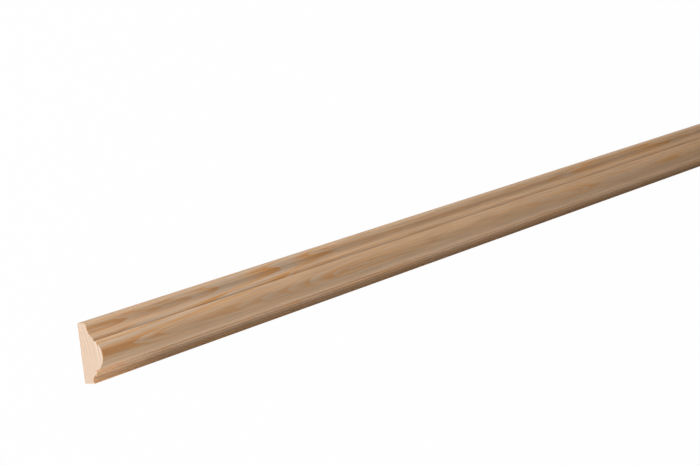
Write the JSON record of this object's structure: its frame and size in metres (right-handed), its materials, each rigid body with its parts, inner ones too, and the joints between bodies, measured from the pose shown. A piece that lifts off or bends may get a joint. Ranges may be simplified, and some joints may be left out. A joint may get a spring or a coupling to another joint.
{
  "type": "dado rail moulding",
  "caption": "Planed pine dado rail: a moulded face with a torus set between fillets and coves, a flat back and square-cut ends.",
  "frame": {"origin": "middle of the flat back face, halfway along the stick and halfway across its width", "axes": "+X along the stick, +Y across the width to the thin edge that is uppermost on a wall, +Z out of the back through the moulded face"},
  "size_m": [2.4, 0.045, 0.02],
  "materials": {
    "pine": "planed, unsealed"
  },
  "bodies": {
    "root": {"moulding": "pine"}
  },
  "joints": []
}
